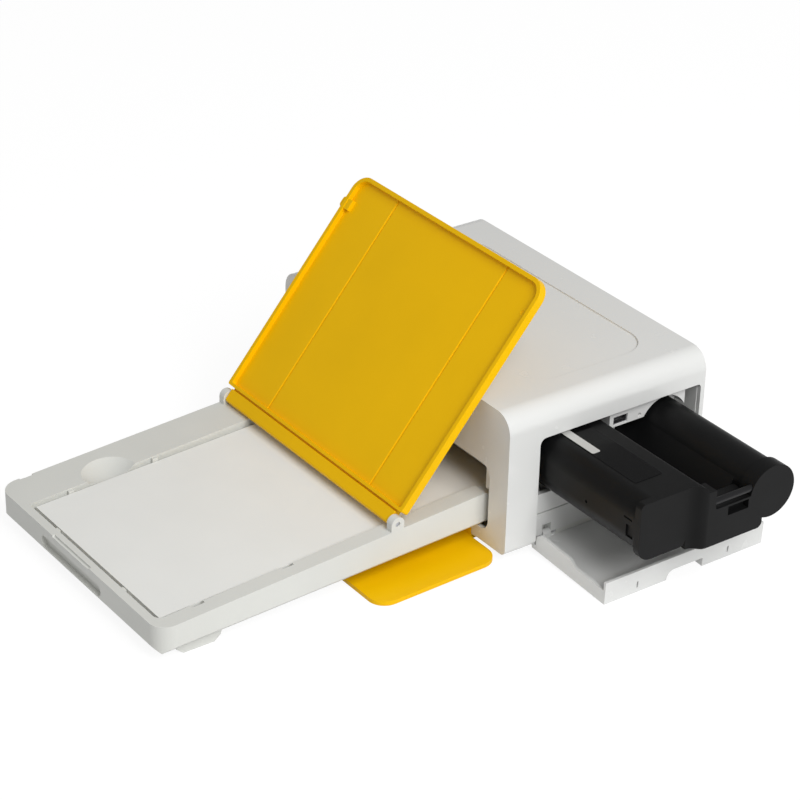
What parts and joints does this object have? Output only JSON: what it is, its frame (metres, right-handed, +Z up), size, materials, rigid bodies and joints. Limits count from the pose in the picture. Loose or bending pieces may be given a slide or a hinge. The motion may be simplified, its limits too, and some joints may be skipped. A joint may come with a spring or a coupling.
{
  "type": "compact photo printer",
  "caption": "Compact dye-sublimation photo printer with slide-in paper tray, hinged tray lid, front flap, side door and ribbon cartridge that slides out.",
  "frame": {"origin": "middle of the body's footprint, on the plane the printer stands on", "axes": "+X towards the cartridge side, -Y towards the paper tray, +Z up"},
  "size_m": [0.2314, 0.2626, 0.1176],
  "materials": {
    "gloss_white": "glossy moulded white",
    "tray_white": "fine matt off-white",
    "yellow": "satin moulded yellow",
    "black": "fine satin black",
    "steel": "zinc-plated sheet and turned steel",
    "rubber": "matt rubber",
    "nylon": "natural nylon",
    "paper": "coated photo paper",
    "film": "thin dark dye film",
    "board": "green solder mask",
    "aluminium": "extruded aluminium",
    "label": "glossy printed label"
  },
  "bodies": {
    "body": {"outer_shell": "gloss_white", "rear_panel": "gloss_white", "base_plate": "tray_white", "rubber_feet": "rubber", "base_screws": "steel", "door_sill": "gloss_white", "inner_side_panel": "gloss_white", "bay_frame": "gloss_white", "service_port": "steel", "flap_hinge_pins": "steel", "door_hinge_pins": "steel", "drive_side_plate": "steel", "gearbox_plate": "steel", "gearbox_standoffs": "steel", "drive_motor": "steel", "motor_screws": "steel", "gear_posts": "steel", "head_pivot_rod": "steel", "circuit_board": "board", "switch_board": "board", "power_jack": "black", "button_spring": "steel"},
    "button": {"power_button": "gloss_white"},
    "flap": {"front_flap": "yellow"},
    "door": {"cartridge_door": "gloss_white"},
    "pinion": {"motor_pinion": "nylon"},
    "middle_wheel": {"middle_gear": "nylon"},
    "transfer_wheel": {"transfer_gear": "nylon"},
    "platen": {"platen_shaft": "steel", "platen_roller": "rubber", "platen_gear": "nylon"},
    "feed": {"feed_shaft": "steel", "feed_roller": "rubber", "feed_gear": "nylon"},
    "pinch": {"pinch_roller": "steel"},
    "pick_up": {"pick_shaft": "steel", "pick_roller": "rubber", "pick_gear": "nylon"},
    "takeup_drive": {"takeup_drive_hub": "nylon", "takeup_gear": "nylon"},
    "supply_brake": {"supply_brake_hub": "nylon"},
    "head": {"head_arm": "steel", "print_head": "aluminium"},
    "tray": {"tray_base": "tray_white", "tray_feet": "tray_white", "paper_stack": "paper", "lid_hinge_pins": "steel"},
    "lid": {"tray_lid": "yellow"},
    "cartridge": {"cartridge_end_block": "black", "supply_housing": "black", "takeup_housing": "black", "cartridge_grip_bar": "black", "ribbon_web": "film", "cartridge_label": "label"},
    "supply_reel": {"supply_reel": "nylon", "supply_ribbon_roll": "film"},
    "takeup_reel": {"takeup_reel": "nylon", "takeup_ribbon_roll": "film"}
  },
  "joints": [
    {"name": "tray_slide", "type": "slide", "parent": "body", "child": "tray", "axis": [0, -1, 0], "range_m": [0, 0.03]},
    {"name": "lid_hinge", "type": "hinge", "parent": "tray", "child": "lid", "pos_m": [0, -0.0964, 0.02773], "axis": [1, 0, 0], "range_deg": [0, 133.5]},
    {"name": "flap_hinge", "type": "hinge", "parent": "body", "child": "flap", "pos_m": [0, -0.051, 0.0059], "axis": [-1, 0, 0], "range_deg": [0, 5.5]},
    {"name": "door_hinge", "type": "hinge", "parent": "body", "child": "door", "pos_m": [0.079, 0.0069, 0.0066], "axis": [0, -1, 0], "range_deg": [0, 15]},
    {"name": "cartridge_slide", "type": "slide", "parent": "body", "child": "cartridge", "axis": [-1, 0, 0], "range_m": [0, 0.0685]},
    {"name": "takeup_reel_spin", "type": "hinge", "parent": "cartridge", "child": "takeup_reel", "pos_m": [0.08, 0.033, 0.0415], "axis": [1, 0, 0], "continuous": true},
    {"name": "supply_reel_spin", "type": "hinge", "parent": "cartridge", "child": "supply_reel", "pos_m": [0.08, -0.0219, 0.0414], "axis": [1, 0, 0], "continuous": true},
    {"name": "button_press", "type": "slide", "parent": "body", "child": "button", "axis": [0, 0, -1], "range_m": [0, 0.0012], "stiffness_N_per_m": 400, "springref_m": -0.0006, "deforming": ["button_spring"]},
    {"name": "pinion_spin", "type": "hinge", "parent": "body", "child": "pinion", "pos_m": [-0.062, 0.01073, 0.03374], "axis": [1, 0, 0], "continuous": true},
    {"name": "platen_spin", "type": "hinge", "parent": "body", "child": "platen", "pos_m": [0, 0.007, 0.0198], "axis": [1, 0, 0], "continuous": true},
    {"name": "middle_spin", "type": "hinge", "parent": "body", "child": "middle_wheel", "pos_m": [-0.062, 0.02733, 0.02182], "axis": [1, 0, 0], "continuous": true},
    {"name": "transfer_spin", "type": "hinge", "parent": "body", "child": "transfer_wheel", "pos_m": [-0.062, -0.0197, 0.02834], "axis": [1, 0, 0], "continuous": true},
    {"name": "feed_spin", "type": "hinge", "parent": "body", "child": "feed", "pos_m": [0, 0.0437, 0.02345], "axis": [1, 0, 0], "continuous": true},
    {"name": "pinch_spin", "type": "hinge", "parent": "body", "child": "pinch", "pos_m": [0, 0.0437, 0.03065], "axis": [1, 0, 0], "continuous": true},
    {"name": "pick_spin", "type": "hinge", "parent": "body", "child": "pick_up", "pos_m": [0, -0.043, 0.0358], "axis": [1, 0, 0], "continuous": true},
    {"name": "takeup_drive_spin", "type": "hinge", "parent": "body", "child": "takeup_drive", "pos_m": [-0.056, 0.033, 0.0415], "axis": [1, 0, 0], "continuous": true},
    {"name": "supply_brake_spin", "type": "hinge", "parent": "body", "child": "supply_brake", "pos_m": [-0.056, -0.0219, 0.0414], "axis": [1, 0, 0], "continuous": true},
    {"name": "head_swing", "type": "hinge", "parent": "body", "child": "head", "pos_m": [0, 0.0459, 0.061], "axis": [1, 0, 0], "range_deg": [0, 7], "stiffness_Nm_per_rad": 0.25, "springref_deg": -17.19}
  ],
  "couplings": [
    {"joint": "pinion_spin", "follows": "platen_spin", "ratio": -2},
    {"joint": "middle_spin", "follows": "platen_spin", "ratio": -0.88889},
    {"joint": "transfer_spin", "follows": "platen_spin", "ratio": -0.52174},
    {"joint": "feed_spin", "follows": "platen_spin", "ratio": 1.7143},
    {"joint": "takeup_drive_spin", "follows": "platen_spin", "ratio": 1},
    {"joint": "pick_spin", "follows": "platen_spin", "ratio": 1.6},
    {"joint": "pinch_spin", "follows": "platen_spin", "ratio": -2.6374},
    {"joint": "supply_reel_spin", "follows": "takeup_reel_spin", "ratio": 0.6383}
  ]
}
